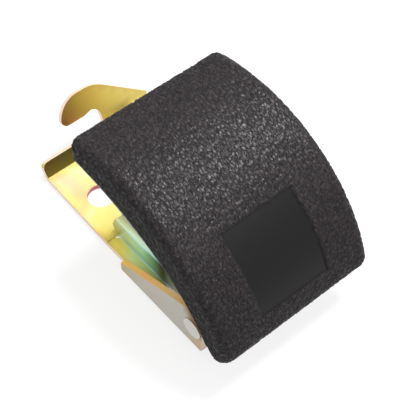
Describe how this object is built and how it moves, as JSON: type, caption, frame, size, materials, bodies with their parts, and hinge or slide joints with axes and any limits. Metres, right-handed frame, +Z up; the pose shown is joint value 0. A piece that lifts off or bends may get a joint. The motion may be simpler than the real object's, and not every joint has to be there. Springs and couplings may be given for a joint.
{
  "type": "hood release handle",
  "caption": "Sprung lift handle with an arched grained cover on a stamped base plate, which swings a claw hook off a hood striker.",
  "frame": {"origin": "midway between the two mounting holes, on the mounting face", "axes": "+X along the width, towards the hook's pivot; +Y from the handle's hinge to the hook; +Z up off the mounting face"},
  "size_m": [0.0574, 0.1059, 0.0525],
  "materials": {
    "zinc_yellow": "yellow chromated zinc",
    "zinc_clear": "clear zinc plate",
    "spring_steel": "drawn wire, oiled",
    "cover_black": "moulded leather grain",
    "bush_brass": "turned",
    "sleeve_plastic": "natural nylon"
  },
  "bodies": {
    "base": {"base_plate": "zinc_yellow", "pivot_pin": "zinc_clear", "pivot_spacers": "zinc_clear", "spring_sleeve": "sleeve_plastic", "hook_stud": "zinc_clear", "hook_washer": "zinc_clear", "hook_spring": "spring_steel"},
    "handle": {"handle_cover": "cover_black", "cover_carrier": "zinc_yellow", "carrier_rivets": "zinc_clear", "cover_screws": "zinc_clear", "screw_washers": "zinc_clear", "cover_inserts": "bush_brass", "lever_channel": "zinc_yellow", "lever_bushes": "bush_brass", "release_tongue": "zinc_yellow", "tongue_rivets": "zinc_clear", "handle_springs": "spring_steel"},
    "hook": {"hook": "zinc_yellow", "hook_bush": "bush_brass"}
  },
  "joints": [
    {"name": "handle_lift", "type": "hinge", "parent": "base", "child": "handle", "pos_m": [0, -0.0615, 0.0138], "axis": [1, 0, 0], "range_deg": [0, 8], "stiffness_Nm_per_rad": 1.2, "springref_deg": -28.65},
    {"name": "hook_swing", "type": "hinge", "parent": "base", "child": "hook", "pos_m": [0.0133, 0.01901, 0.00586], "axis": [0, 0.8387, -0.5446], "range_deg": [0, 30], "stiffness_Nm_per_rad": 0.05, "springref_deg": -28.65}
  ],
  "couplings": [
    {"joint": "hook_swing", "follows": "handle_lift", "ratio": 3.75}
  ]
}
